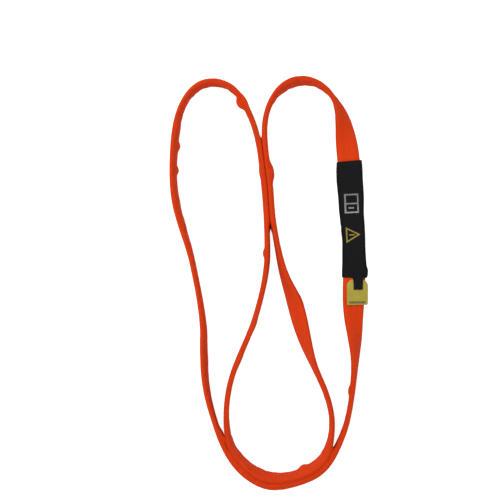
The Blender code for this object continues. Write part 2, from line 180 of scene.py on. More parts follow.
# The loop's centreline seen from above, and how far the band leans: 0 on its edge, 90 flat. A
# positive lean carries its upper edge to the left of the direction of travel.
ROUTE = (
    (0.1104, 0.0070, 90),
    (0.1074, 0.0821, 90),
    (0.1032, 0.1561, 90),
    (0.0978, 0.1967, 55),
    (0.0920, 0.2210, 28),
    (0.0816, 0.2405, 8),
    (0.0625, 0.2567, -2),
    (0.0376, 0.2604, -11),
    (0.0195, 0.2533, -11),
    (0.0050, 0.2385, -3),
    (-0.0055, 0.2076, 0),
    (-0.0050, 0.1740, 0),
    (-0.0009, 0.1391, 0),
    (0.0015, 0.1215, 0),
    (0.0035, 0.0938, 0),
    (0.0058, 0.0738, 1),
    (0.0099, 0.0500, 2),
    (0.0146, 0.0270, 8),
    (0.0212, 0.0041, 17),
    (0.0298, -0.0180, 31),
    (0.0369, -0.0406, 38),
    (0.0432, -0.0644, 31),
    (0.0498, -0.0863, 19),
    (0.0587, -0.1098, 6),
    (0.0684, -0.1314, 2),
    (0.0761, -0.1522, 0),
    (0.0810, -0.1840, -2),
    (0.0794, -0.2010, 1),
    (0.0732, -0.2220, 8),
    (0.0506, -0.2424, 10),
    (0.0160, -0.2525, 10),
    (-0.0106, -0.2488, 13),
    (-0.0351, -0.2306, 9),
    (-0.0503, -0.2084, 7),
    (-0.0548, -0.1877, 3),
    (-0.0555, -0.1660, 0),
    (-0.0479, -0.1205, 0),
    (-0.0211, -0.0538, 0),
    (-0.0139, -0.0304, 0),
    (-0.0029, 0.0292, 4),
    (-0.0027, 0.0530, 3),
    (-0.0054, 0.1068, 0),
    (-0.0109, 0.1600, 0),
    (-0.0150, 0.1850, 0),
    (-0.0210, 0.2060, 0),
    (-0.0296, 0.2257, 0),
    (-0.0522, 0.2533, -2),
    (-0.0861, 0.2561, -6),
    (-0.1095, 0.2339, -4),
    (-0.1201, 0.2007, -7),
    (-0.1228, 0.1759, -8),
    (-0.1242, 0.1500, -6),
    (-0.1209, 0.1048, -8),
    (-0.1156, 0.0822, -7),
    (-0.1086, 0.0592, -5),
    (-0.1018, 0.0362, -2),
    (-0.0966, 0.0130, -1),
    (-0.0920, -0.0101, -1),
    (-0.0880, -0.0340, -3),
    (-0.0853, -0.0580, -5),
    (-0.0842, -0.1046, -8),
    (-0.0781, -0.1528, -3),
    (-0.0716, -0.1762, 0),
    (-0.0638, -0.1988, -1),
    (-0.0531, -0.2203, -4),
    (-0.0418, -0.2359, -6),
    (-0.0221, -0.2524, -8),
    (-0.0019, -0.2609, -8),
    (0.0329, -0.2576, -6),
    (0.0671, -0.2410, -7),
    (0.0909, -0.2061, 2),
    (0.0995, -0.1830, 4),
    (0.1048, -0.1584, 6),
    (0.1079, -0.1360, 8),
    (0.1101, -0.1127, 12),
    (0.1109, -0.0988, 18),
    (0.1105, -0.0648, 42),
    (0.1095, -0.0458, 57),
)

# Puckers, where the loose jacket stands out from the core: the place, the face (-1 on the left of
# the direction of travel, 1 on the right), how far it stands out, how long it is along the band,
# and where it is highest across the band, from -1 at the lower edge to 1 at the upper edge.
PUCKERS = (
    (-0.0354, 0.2312, -1, 0.0066, 0.0170, 0.9),
    (-0.0366, 0.2326, 1, 0.0013, 0.0160, 0.6),
    (-0.1165, 0.1990, -1, 0.0018, 0.0180, 0.2),
    (-0.1190, 0.1765, -1, 0.0026, 0.0110, -0.5),
    (-0.1205, 0.1455, -1, 0.0026, 0.0095, -0.5),
    (-0.1165, 0.1060, -1, 0.0014, 0.0160, 0.2),
    (-0.1090, 0.0780, -1, 0.0016, 0.0200, 0.1),
    (-0.0960, 0.0480, -1, 0.0009, 0.0120, 0.5),
    (-0.0820, -0.0620, -1, 0.0010, 0.0180, 0.2),
    (-0.0810, -0.1010, -1, 0.0010, 0.0200, 0.0),
    (0.0050, 0.1430, -1, 0.0041, 0.0230, 0.3),
    (-0.0095, 0.1430, -1, 0.0011, 0.0140, 0.3),
    (0.0000, 0.1440, 1, 0.0005, 0.0500, 0.0),
    (-0.0075, 0.0380, -1, 0.0019, 0.0110, 0.4),
    (-0.0600, -0.1960, -1, 0.0030, 0.0200, 0.4),
    (0.0454, -0.2430, 1, 0.0038, 0.0130, -0.4),
    (0.0720, -0.2130, 1, 0.0010, 0.0160, -0.2),
    (0.1060, -0.1390, -1, 0.0022, 0.0120, 0.2),
    (0.0400, -0.0230, -1, 0.0012, 0.0180, 0.5),
    (-0.0600, 0.2560, -1, 0.0008, 0.0100, 0.4),
    (0.0300, 0.2560, -1, 0.0010, 0.0120, 0.3),
    (-0.0300, -0.2320, 1, 0.0008, 0.0140, 0.7),
    (0.0100, -0.2480, 1, 0.0009, 0.0120, 0.8),
    (-0.0110, -0.2480, 1, 0.0010, 0.0360, -0.2),
    (-0.0850, 0.2560, -1, 0.0006, 0.0300, 0.2),
    (-0.0395, -0.0980, 1, 0.0008, 0.0200, 0.3),
    (-0.0211, -0.0538, 1, 0.0008, 0.0160, 0.2),
    (-0.0850, -0.0810, 1, 0.0009, 0.0260, 0.0),
)


# ---------------------------------------------------------------- camera, floor and light


def look_down():
    """A camera straight above the object, with +Y upwards in the picture."""
    data = bpy.data.cameras.new("camera")
    data.sensor_width = 36.0
    data.lens = data.sensor_width * VIEW_HEIGHT / VIEW_WIDTH
    data.clip_end = 20.0
    camera = bpy.data.objects.new("camera", data)
    camera.location = (*VIEW_CENTRE, VIEW_HEIGHT)
    bpy.context.scene.collection.objects.link(camera)
    bpy.context.scene.camera = camera


def area_light(name, place, size, watts, colour):
    """A square soft light at a place, turned to the middle of the object."""
    data = bpy.data.lights.new(name, "AREA")
    data.size = size
    data.energy = watts
    data.color = colour
    light = bpy.data.objects.new(name, data)
    light.location = place
    aim = Vector((*VIEW_CENTRE, 0)) - light.location
    light.rotation_mode = "QUATERNION"
    light.rotation_quaternion = aim.to_track_quat("-Z", "Y")
    bpy.context.scene.collection.objects.link(light)


def light_the_studio():
    """A white room, a large soft key light from the upper left and a weak one from the lower right."""
    world = bpy.data.worlds.new("studio")
    world.use_nodes = True
    background = world.node_tree.nodes["Background"]
    background.inputs["Color"].default_value = (1.0, 1.0, 1.0, 1.0)
    background.inputs["Strength"].default_value = ROOM_LIGHT
    bpy.context.scene.world = world
    area_light("key_light", place=(-0.9, 0.6, 2.1), size=1.2, watts=53.0, colour=(1.0, 0.99, 0.97))
    area_light("fill_light", place=(1.5, -0.9, 1.6), size=1.6, watts=9.0, colour=(0.97, 0.98, 1.0))
    bpy.context.scene.view_settings.view_transform = "Standard"


def lay_floor():
    """A matt grey floor just under the object, which glows white like a light table."""
    builder = bmesh.new()
    bmesh.ops.create_grid(builder, x_segments=1, y_segments=1, size=FLOOR_HALF_SIZE)
    mesh = bpy.data.meshes.new("floor")
    builder.to_mesh(mesh)
    builder.free()
    floor = bpy.data.objects.new("floor", mesh)
    floor.location = (0, 0, -FLOOR_DEPTH)
    bpy.context.scene.collection.objects.link(floor)
    paint = bpy.data.materials.new("floor_paint")
    paint.use_nodes = True
    shader = paint.node_tree.nodes["Principled BSDF"]
    shader.inputs["Base Color"].default_value = (FLOOR_GREY, FLOOR_GREY, FLOOR_GREY, 1)
    shader.inputs["Roughness"].default_value = 0.9
    shader.inputs["Specular IOR Level"].default_value = 0.1
    shader.inputs["Emission Color"].default_value = (1, 1, 1, 1)
    shader.inputs["Emission Strength"].default_value = FLOOR_GLOW
    mesh.materials.append(paint)


look_down()
light_the_studio()
lay_floor()


# ---------------------------------------------------------------- the loop's centreline


def closed_spline(knots, values, period):
    """A smooth periodic curve through values at knots, as a function of the knots' parameter."""
    count = len(knots)
    ends = np.append(knots, period)
    steps = np.diff(ends)
    following = np.roll(values, -1, axis=0)
    slopes = (following - values) / steps[:, None]
    matrix = np.zeros((count, count))
    for i in range(count):
        matrix[i, i - 1] += steps[i - 1]
        matrix[i, i] += 2 * (steps[i - 1] + steps[i])
        matrix[i, (i + 1) % count] += steps[i]
    bends = np.linalg.solve(matrix, 6 * (slopes - np.roll(slopes, 1, axis=0)))
    next_bends = np.roll(bends, -1, axis=0)

    def curve(at):
        wrapped = np.mod(np.atleast_1d(at), period)
        i = np.clip(np.searchsorted(ends, wrapped, side="right") - 1, 0, count - 1)
        step = steps[i][:, None]
        right = (wrapped - ends[i])[:, None] / step
        left = 1 - right
        cubic = (left**3 - left) * bends[i] + (right**3 - right) * next_bends[i]
        return left * values[i] + right * following[i] + cubic * step**2 / 6

    return curve


class Loop:
    """The band's centreline by distance s: its place, direction, lean and height."""

    def __init__(self, route):
        values = np.array(route, float)
        chords = np.linalg.norm(np.roll(values[:, :2], -1, axis=0) - values[:, :2], axis=1)
        knots = np.concatenate([[0], np.cumsum(chords)[:-1]])
        self.period = chords.sum()
        self.curve = closed_spline(knots, values, self.period)
        self.fine = np.linspace(0, self.period, 6001)
        self.places = self.curve(self.fine)[:, :2]
        steps = np.linalg.norm(np.diff(self.places, axis=0), axis=1)
        self.along = np.append(0, np.cumsum(steps))
        self.length = self.along[-1]

    def values(self, s):
        """x, y and the lean in radians, at distances s."""
        parameter = np.interp(np.mod(s, self.length), self.along, self.fine)
        x, y, lean = self.curve(parameter).T
        return x, y, np.radians(np.minimum(lean, 90))

    def nearest(self, x, y):
        """The distance s of the centreline's point nearest to x, y."""
        gaps = np.hypot(self.places[:, 0] - x, self.places[:, 1] - y)
        return self.along[np.argmin(gaps)]

    def heading(self, s):
        """The direction of travel at s, in radians from +X."""
        x_ahead, y_ahead, _ = self.values(s + HEADING_STEP)
        x_behind, y_behind, _ = self.values(s - HEADING_STEP)
        return np.arctan2(y_ahead - y_behind, x_ahead - x_behind)

    def bend(self, s):
        """How sharply the centreline turns at s, in radians a metre, positive to the left."""
        turn = self.heading(s + BEND_STEP) - self.heading(s - BEND_STEP)
        return (np.mod(turn + math.pi, 2 * math.pi) - math.pi) / (2 * BEND_STEP)

    def shorter_way(self, gap):
        """A difference between two distances, taken the shorter way round the loop."""
        return np.mod(gap + self.length / 2, self.length) - self.length / 2

    def wrap(self, s):
        """s counted from shortly before the sleeve's lower hem."""
        return np.mod(s + SETTLE_BEFORE, self.length) - SETTLE_BEFORE


LOOP = Loop(ROUTE)


def sleeve_half(s):
    """Half the width and half the thickness of the sleeve's outer face at s."""
    share = np.interp(s, (SLEEVE_RAMP_START, SLEEVE_RAMP_END), (0, 1))
    width = BAND_HALF_WIDTH + SLEEVE_COVER + share * SLEEVE_GROWTH_WIDTH
    return width, BAND_HALF_THICKNESS + SLEEVE_COVER + share * SLEEVE_GROWTH_THICKNESS


def centre_height(s, lean):
    """The height of the centreline: on the floor by its own lean, or up inside the sleeve."""
    heights = []
    for inset, rise in SECTION_CORNERS:
        p = BAND_HALF_WIDTH - inset * BAND_HALF_THICKNESS
        heights.append(p * np.cos(lean) + rise * BAND_HALF_THICKNESS * abs(np.sin(lean)))
    resting = np.max(heights, axis=0)
    lift_low = sleeve_half(0)[1] - BAND_HALF_THICKNESS
    lift_high = sleeve_half(SLEEVE_LENGTH)[1] - BAND_HALF_THICKNESS
    places = (-SETTLE_BEFORE, 0, SLEEVE_RAMP_START, SLEEVE_RAMP_END, SLEEVE_LENGTH)
    places += (SLEEVE_LENGTH + SETTLE_AFTER,)
    lifts = (0, lift_low, lift_low, lift_high, lift_high, 0)
    return resting + np.interp(LOOP.wrap(s), places, lifts)


def band_frame(s):
    """The band's centres at s, with its width and thickness directions, one row for each s."""
    s = np.atleast_1d(np.asarray(s, float))
    x, y, lean = LOOP.values(s)
    heading = LOOP.heading(s)
    zero = np.zeros_like(s)
    left = np.stack([-np.sin(heading), np.cos(heading), zero], axis=1)
    up = np.array((0.0, 0.0, 1.0))
    sine, cosine = np.sin(lean)[:, None], np.cos(lean)[:, None]
    centre = np.stack([x, y, centre_height(s, lean)], axis=1)
    return centre, left * sine + up * cosine, up * sine - left * cosine


def on_band(s, p, q):
    """Points at distances s, across the band by p and through it by q."""
    centre, width, depth = band_frame(s)
    p = np.broadcast_to(p, centre.shape[:1])[:, None]
    q = np.broadcast_to(q, centre.shape[:1])[:, None]
    return centre + width * p + depth * q


# ---------------------------------------------------------------- meshes


def smooth_step(value, low, high):
    """A share that grows smoothly from 0 at the low value to 1 at the high one."""
    share = np.clip((value - low) / (high - low), 0, 1)
    return share * share * (3 - 2 * share)


def hill(value, middle, spread):
    """A round hill of height 1 at its middle, which falls away over its spread."""
    return np.exp(-(((value - middle) / spread) ** 2))


def along_outline(shape):
    """The distance round a closed section's outline to each of its points."""
    step = np.hypot(*(np.roll(shape, -1, axis=0) - shape).T)
    return np.append(0, np.cumsum(step)[:-1])


def section(half_width, half_thickness, count, squareness):
    """A flattened round section as (p, q) rows, evenly spaced round its edge."""
    angle = np.linspace(0, 2 * math.pi, 2001)
    power = 2 / squareness
    p = half_width * np.sign(np.cos(angle)) * np.abs(np.cos(angle)) ** power
    q = half_thickness * np.sign(np.sin(angle)) * np.abs(np.sin(angle)) ** power
    along = np.append(0, np.cumsum(np.hypot(np.diff(p), np.diff(q))))
    even = np.arange(count) / count * along[-1]
    return np.stack([np.interp(even, along, p), np.interp(even, along, q)], axis=1)


def mesh_piece(name, points, faces, finish, smooth_angle=50):
    """An object from points and faces, with smooth shading between gentle angles."""
    mesh = bpy.data.meshes.new(name)
    mesh.from_pydata([tuple(point) for point in points], [], faces)
    builder = bmesh.new()
    builder.from_mesh(mesh)
    bmesh.ops.recalc_face_normals(builder, faces=builder.faces)
    builder.to_mesh(mesh)
    builder.free()
    mesh.shade_smooth()
    mesh.set_sharp_from_angle(angle=math.radians(smooth_angle))
    mesh.materials.append(finish)
    piece = bpy.data.objects.new(name, mesh)
    bpy.context.scene.collection.objects.link(piece)
    return piece


def grid_faces(rows, columns, closed_columns=True):
    """Quads between rows of points. Each row may close on itself."""
    faces = []
    last = columns if closed_columns else columns - 1
    for i in range(rows - 1):
        for j in range(last):
            k = (j + 1) % columns
            low, high = i * columns, (i + 1) * columns
            faces.append((low + j, low + k, high + k, high + j))
    return faces


def write_map(piece, along, around, edge):
    """Stores the weave_map for each point: the distance along, the distance round and the edge."""
    layer = piece.data.attributes.new("weave_map", "FLOAT_VECTOR", "POINT")
    values = np.stack(np.broadcast_arrays(along, around, edge), axis=-1)
    layer.data.foreach_set("vector", values.astype(np.float32).ravel())


# ---------------------------------------------------------------- materials


class Nodes:
    """A material's node tree, with short calls to add and link its nodes."""

    def __init__(self, name):
        self.material = bpy.data.materials.new(name)
        self.material.use_nodes = True
        self.tree = self.material.node_tree
        self.shader = self.tree.nodes["Principled BSDF"]

    def add(self, kind, **settings):
        node = self.tree.nodes.new(kind)
        for key, value in settings.items():
            setattr(node, key, value)
        return node

    def feed(self, socket, value):
        """Links an output to a socket, or sets the socket to a plain value."""
        if isinstance(value, bpy.types.NodeSocket):
            self.tree.links.new(value, socket)
        else:
            socket.default_value = value

    def math(self, operation, first, second=0.0):
        node = self.add("ShaderNodeMath", operation=operation)
        self.feed(node.inputs[0], first)
        self.feed(node.inputs[1], second)
        return node.outputs[0]

    def mix(self, share, first, second):
        """The first colour at share 0, the second at share 1."""
        node = self.add("ShaderNodeMix", data_type="RGBA")
        self.feed(node.inputs[0], share)
        self.feed(node.inputs[6], first)
        self.feed(node.inputs[7], second)
        return node.outputs[2]

    def noise(self, vector, scale, detail=2.0, roughness=0.5):
        node = self.add("ShaderNodeTexNoise")
        self.feed(node.inputs["Vector"], vector)
        node.inputs["Scale"].default_value = scale
        node.inputs["Detail"].default_value = detail
        node.inputs["Roughness"].default_value = roughness
        return node.outputs["Fac"]

    def stretch(self, vector, scale):
        """A vector times a different scale on each axis."""
        node = self.add("ShaderNodeVectorMath", operation="MULTIPLY")
        self.feed(node.inputs[0], vector)
        node.inputs[1].default_value = scale
        return node.outputs[0]

    def remap(self, value, low, high, to_low=0.0, to_high=1.0):
        """A value's range from low to high, moved to another range and held inside it."""
        node = self.add("ShaderNodeMapRange")
        node.clamp = True
        for socket, given in zip(node.inputs, (value, low, high, to_low, to_high)):
            self.feed(socket, given)
        return node.outputs[0]

    def bump(self, height, distance, strength):
        node = self.add("ShaderNodeBump")
        node.inputs["Strength"].default_value = strength
        node.inputs["Distance"].default_value = distance
        self.feed(node.inputs["Height"], height)
        return node.outputs[0]

    def finish(self, **sockets):
        """Sets the shader's sockets, named with _ for each space, and returns the material."""
        for name, value in sockets.items():
            self.feed(self.shader.inputs[name.replace("_", " ")], value)
        return self.material


def colour(red, green, blue):
    return (red, green, blue, 1.0)


def woven(name, pitch, base, shade, rim, sheen, specular, relief):
    """Woven webbing: warp ribs along the band crossed by weft, with a rim colour towards its edges.

    The weave_map holds the distance along the band, the distance round it and how near an edge
    the point is, from 0 in the middle of a face to 1 on an edge. Towards an edge the colour is
    darkened part way to the rim colour, which is painted shade.
    """
    n = Nodes(name)
    where = n.add("ShaderNodeAttribute", attribute_name="weave_map").outputs["Vector"]
    split = n.add("ShaderNodeSeparateXYZ")
    n.feed(split.inputs[0], where)
    along, around, edge = split.outputs
    turns = 2 * math.pi / pitch
    warp = n.math("SINE", n.math("MULTIPLY", around, turns))
    shift = n.math("MULTIPLY", n.math("SIGN", warp), math.pi / 2)
    weft = n.math("SINE", n.math("ADD", n.math("MULTIPLY", along, turns * 0.55), shift))
    yarn = n.math("MULTIPLY", n.math("ABSOLUTE", warp), n.remap(weft, -1, 1, 0.35, 1.0))
    fuzz = n.noise(n.stretch(where, (260.0, 900.0, 1.0)), 1.0, 3.0)
    height = n.math("ADD", yarn, n.math("MULTIPLY", fuzz, 0.6))
    dye = n.noise(n.stretch(where, (26.0, 60.0, 3.0)), 1.0, 4.0, 0.6)
    shaded = n.mix(n.remap(height, 0.2, 1.4), shade, base)
    # Painted shade: towards the edges the colour is darkened part way to the rim colour.
    painted_edge_shade = n.mix(n.math("MULTIPLY", n.remap(edge, 0.35, 1.0), 0.60), shaded, rim)
    tinted = n.mix(n.remap(dye, 0.35, 0.75, 0.0, 0.30), painted_edge_shade, shade)
    return n.finish(
        Base_Color=tinted,
        Roughness=n.remap(fuzz, 0.3, 0.7, 0.78, 0.95),
        Normal=n.bump(height, relief, 0.9),
        Specular_IOR_Level=specular,
        Sheen_Weight=sheen,
        Sheen_Roughness=0.45,
        Sheen_Tint=base,
    )


def thread(name, base, dark):
    """Twisted sewing thread."""
    n = Nodes(name)
    place = n.add("ShaderNodeTexCoord").outputs["Object"]
    strands = n.add("ShaderNodeTexWave", bands_direction="DIAGONAL")
    n.feed(strands.inputs["Vector"], place)
    strands.inputs["Scale"].default_value = 900.0
    strands.inputs["Distortion"].default_value = 1.5
    twist = strands.outputs["Fac"]
    return n.finish(
        Base_Color=n.mix(twist, dark, base),
        Roughness=0.6,
        Specular_IOR_Level=0.25,
        Normal=n.bump(twist, 0.00012, 0.8),
    )


def yarn_core():
    """Loose off-white yarn."""
    n = Nodes("core_yarn")
    place = n.add("ShaderNodeTexCoord").outputs["Object"]
    fibres = n.noise(n.stretch(place, (900.0, 900.0, 2400.0)), 1.0, 4.0)
    return n.finish(
        Base_Color=n.mix(fibres, colour(0.70, 0.67, 0.58), colour(0.90, 0.88, 0.82)),
        Roughness=0.85,
        Normal=n.bump(fibres, 0.0003, 0.7),
    )


def ink(name, base, bare, cover, fade):
    """Screen print broken up by the weave, and more rubbed away from one place along Y to the other.
    """
    n = Nodes(name)
    place = n.add("ShaderNodeTexCoord").outputs["Object"]
    grain = n.noise(place, 1500.0, 2.0)
    wear = n.noise(place, 260.0, 3.0)
    split = n.add("ShaderNodeSeparateXYZ")
    n.feed(split.inputs[0], place)
    kept = n.remap(split.outputs[1], *fade, 1.0, 0.35)
    gaps = n.math("MULTIPLY", n.remap(grain, 0.35, 0.62), n.remap(wear, 0.25, 0.6, 0.4, 1.0))
    gaps = n.math("MULTIPLY", gaps, kept)
    shown = n.remap(gaps, 0.0, 1.0, cover, 1.0)
    return n.finish(
        Base_Color=n.mix(shown, bare, base),
        Roughness=n.remap(wear, 0.3, 0.7, 0.55, 0.8),
        Specular_IOR_Level=0.3,
        Normal=n.bump(grain, 0.00008, 0.8),
    )


def tag_sheet():
    """Yellow plastic sheet with soft cloudy patches, fine scuffs and a satin face."""
    n = Nodes("tag_yellow")
    place = n.add("ShaderNodeTexCoord").outputs["Object"]
    cloud = n.noise(place, 70.0, 4.0, 0.6)
    scuffs = n.noise(n.stretch(place, (2600.0, 320.0, 900.0)), 1.0, 3.0)
    grain = n.noise(place, 2200.0, 2.0)
    bright, dull = colour(0.280, 0.225, 0.0290), colour(0.240, 0.190, 0.0240)
    base = n.mix(n.remap(cloud, 0.35, 0.7), bright, dull)
    scuffed = n.mix(n.remap(scuffs, 0.60, 0.78, 0.0, 0.35), base, colour(0.36, 0.31, 0.075))
    return n.finish(
        Base_Color=scuffed,
        Roughness=n.remap(scuffs, 0.3, 0.7, 0.42, 0.62),
        Specular_IOR_Level=0.20,
        Normal=n.bump(grain, 0.00006, 0.6),
    )


ORANGE = woven(
    "woven_orange",
    pitch=0.0012,
    base=colour(0.610, 0.0470, 0.0058),
    shade=colour(0.440, 0.0280, 0.0032),
    # The rim colour is painted shade, darkening the band towards its edges.
    rim=colour(0.430, 0.0280, 0.0036),
    sheen=0.02,
    specular=0.05,
    relief=0.00022,
)
BLACK = woven(
    "label_black",
    pitch=0.0010,
    base=colour(0.0078, 0.0082, 0.0092),
    shade=colour(0.0042, 0.0045, 0.0051),
    # The rim colour is painted shade, darkening the sleeve's and the tab's sides.
    rim=colour(0.0008, 0.0008, 0.0009),
    sheen=0.01,
    specular=0.07,
    relief=0.00014,
)
BLACK_THREAD = thread(
    "thread_black",
    base=colour(0.012, 0.012, 0.013),
    dark=colour(0.004, 0.004, 0.005),
)
ORANGE_THREAD = thread(
    "thread_orange",
    base=colour(0.60, 0.050, 0.010),
    dark=colour(0.35, 0.02, 0.004),
)
YARN = yarn_core()
WHITE_INK = ink(
    "print_white",
    base=colour(0.36, 0.38, 0.36),
    bare=colour(0.03, 0.03, 0.03),
    cover=0.12,
    fade=(0.086, 0.108),
)
YELLOW_INK = ink(
    "print_yellow",
    base=colour(0.35, 0.25, 0.012),
    bare=colour(0.03, 0.03, 0.01),
    cover=0.12,
    fade=(0.0, 1.0),
)
TAG_INK = ink(
    "tag_ink",
    base=colour(0.030, 0.026, 0.012),
    bare=colour(0.20, 0.17, 0.04),
    cover=0.3,
    fade=(1.0, 2.0),
)
TAG_YELLOW = tag_sheet()


# ---------------------------------------------------------------- the orange band


def pucker(s, p, q):
    """How far the jacket's face stands out at s, p, q, over all the puckers."""
    out = np.zeros(np.broadcast(s, p, q).shape)
    across = p / BAND_HALF_WIDTH
    for x, y, face, height, length, place in PUCKERS:
        gap = LOOP.shorter_way(s - LOOP.nearest(x, y))
        run = np.exp(-np.abs(gap / (0.5 * length)) ** 3.0)
        side = np.clip(face * q / BAND_HALF_THICKNESS * 1.6 + 0.1, 0, 1)
        out += face * height * run * hill(across, place, 0.75) * side
    return out


def wrinkles(s, p, q):
    """Small crosswise wrinkles, which gather on the inner face of each bend."""
    random = np.random.default_rng(12)
    bend = LOOP.bend(s.ravel())[:, None]
    inner = np.clip(-np.sign(bend) * q / BAND_HALF_THICKNESS, 0, 1)
    strength = np.clip(np.abs(bend) / WRINKLE_BEND, 0.15, 1.0) * (0.25 + 0.75 * inner)
    waves = np.zeros(np.broadcast(s, p, q).shape)
    for wavelength, height in WRINKLE_WAVES:
        phase, tilt = random.uniform(0, 2 * math.pi, 2)
        slant = 0.35 * math.sin(tilt) * p
        turn = 2 * math.pi * (s + slant) / wavelength + phase + 1.5 * tilt * p / BAND_HALF_WIDTH
        waves += height * np.sin(turn)
    return WRINKLE_HEIGHT * waves * strength * np.sign(q)


def next_strand(s, row, depth):
    """The gap to the nearest other strand at each s, and 1 or -1 for the side that it lies on.

    The row holds the band's points at s. The side is 1 where the depth direction points to the
    other strand.
    """
    apart = np.abs(LOOP.shorter_way(s[:, None] - s[None, :]))
    offset = row[None, :, :2] - row[:, None, :2]
    distance = np.where(apart > STRAND_APART, np.hypot(offset[..., 0], offset[..., 1]), 1.0)
    nearest = np.argmin(distance, axis=1)
    rows = np.arange(len(s))
    side = np.sign((offset[rows, nearest] * depth[:, :2]).sum(axis=1))
    return distance[rows, nearest] - 2 * BAND_HALF_THICKNESS, side


def swell_to_neighbour(s, depth, p, q):
    """How far each face stands out to rest against the next strand, where two strands run close."""
    out = np.zeros((len(s), len(p)))
    for k, (place, face) in enumerate(zip(p, np.clip(2.5 * q / BAND_HALF_THICKNESS, -1, 1))):
        gap, side = next_strand(s, on_band(s, 0.92 * place, 0), depth)
        share = 1 - smooth_step(gap, CONTACT_NEAR, CONTACT_FAR)
        toward = np.clip(side * face, 0, 1)
        out[:, k] = side * toward * share * (0.5 * np.clip(gap, 0, None) + 0.0001)
    return out


def press_shoulders(s, centre, depth, p, q):
    """How far the upper edge's rounded shoulder fills up on the side pressed to the next strand."""
    gap, side = next_strand(s, on_band(s, 0, 0), depth)
    share = 1 - smooth_step(gap, CONTACT_NEAR, CONTACT_FAR)
    share = share * smooth_step(-centre[:, 1], -PRESSED_BELOW, PRESSED_FADE - PRESSED_BELOW)
    toward = np.clip(side[:, None] * q[None, :] / BAND_HALF_THICKNESS * 3, 0, 1)
    short = np.where(p > 0.6 * BAND_HALF_WIDTH, np.clip(0.975 * BAND_HALF_WIDTH - p, 0, None), 0)
    return share[:, None] * toward * short[None, :]


def strand_lumps(p, q):
    """The three core strands, which show a little through the jacket's faces."""
    ridge = np.cos(2 * math.pi * p / STRAND_PITCH)
    return STRAND_RIDGE * ridge * np.sign(q) * np.exp(-((p / (0.85 * BAND_HALF_WIDTH)) ** 6))


def make_band():
    """The orange jacket from the sleeve's upper mouth, all round the loop, to its lower mouth."""
    first = SLEEVE_LENGTH - TUCK
    last = LOOP.length + TUCK
    rings = math.ceil((last - first) / RING_STEP) + 1
    s = np.linspace(first, last, rings)
    half_width = BAND_HALF_WIDTH + LOOSE_WIDTH
    half_thickness = BAND_HALF_THICKNESS + LOOSE_THICKNESS
    shape = section(half_width, half_thickness, RING_POINTS, squareness=4.0)
    p, q = shape[:, 0], shape[:, 1]
    centre, width, depth = band_frame(s)
    place = LOOP.wrap(s)
    outside = np.minimum(np.abs(place), np.abs(place - SLEEVE_LENGTH))
    free = np.where((place > 0) & (place < SLEEVE_LENGTH), 0, outside)
    share = np.clip(free / MOUTH_FADE, 0, 1)[:, None]
    grid_s, grid_p, grid_q = s[:, None], p[None, :], q[None, :]
    out = pucker(grid_s, grid_p, grid_q) + wrinkles(grid_s, grid_p, grid_q)
    out = out + strand_lumps(grid_p, grid_q) + swell_to_neighbour(s, depth, p, q)
    out = out * share
    high = grid_p + press_shoulders(s, centre, depth, p, q)
    points = centre[:, None] + width[:, None] * high[..., None]
    points = points + depth[:, None] * (grid_q + out)[..., None]
    points[..., 2] = np.maximum(points[..., 2], BAND_LOWEST)
    faces = grid_faces(rings, RING_POINTS)
    faces.append(tuple(range(RING_POINTS)))
    faces.append(tuple((rings - 1) * RING_POINTS + j for j in range(RING_POINTS)))
    band = mesh_piece("band", points.reshape(-1, 3), faces, ORANGE)
    # The edge share says where the band is darkened with painted shade.
    write_map(band, grid_s, along_outline(shape), np.abs(p / BAND_HALF_WIDTH) ** 6)
    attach(band, "loop")
    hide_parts("jacket")
    tuple(on_band(SLEEVE_LENGTH, 0, 0)[0])


# ---------------------------------------------------------------- the black label sleeve


def sleeve_edge(s, side):
    """How far the sleeve's edge stands out at s, on its left side (1) or its right side (-1)."""
    waist = 0.0016 * hill(s, 0.047, 0.024)
    notch = 0.0005 * hill(s, 0.066, 0.003)
    bulge = 0.0008 * hill(s, 0.127, 0.009)
    neck = 0.0010 * smooth_step(s, 0.138, 0.150)
    left = 0.0002 + bulge - waist - notch - neck + 0.00012 * np.sin(s / 0.0043)
    fold = 0.0019 * np.exp(-np.abs((s - 0.0060) / 0.0068) ** 3)
    slack = 0.0005 * hill(s, 0.072, 0.012)
    right = 0.0002 + fold + slack + 0.00025 * np.sin(s / 0.0071)
    return np.where(side > 0, left, right)


def sleeve_relief(s, across):
    """How far the sleeve's upper face stands out: hems, stitched rows, soft waves and a fold."""
    end = np.minimum(s, SLEEVE_LENGTH - s)
    hem = HEM_RISE * smooth_step(end, HEM_DEPTH + 0.0008, HEM_DEPTH - 0.0004)
    rows = sum(hill(s, place, 0.0011) for place in HEM_STITCH_PLACES)
    pulls = 0.6 + 0.4 * np.cos(2 * math.pi * across * BAND_HALF_WIDTH / HEM_STITCH_PITCH)
    waves = 0.00009 * np.sin(s / 0.0052 + 2.2 * across) + 0.00006 * np.sin(s / 0.0021 - 3.0 * across)
    fold = 0.0008 * hill(s, 0.0085 - 0.0040 * (across + 1), 0.0022)
    fold = fold * smooth_step(across, -0.55, -0.85)
    return hem - 0.00032 * rows * pulls + waves * (1 - np.exp(-((across / 0.95) ** 8))) + fold


def sleeve_face(s, p):
    """The height q of the sleeve's upper face at distance s and place p across it."""
    half_width, half_thickness = sleeve_half(s)
    across = p / half_width
    crown = (1 - np.abs(np.clip(across, -1, 1)) ** 5) ** 0.2
    return half_thickness * crown + sleeve_relief(s, across)


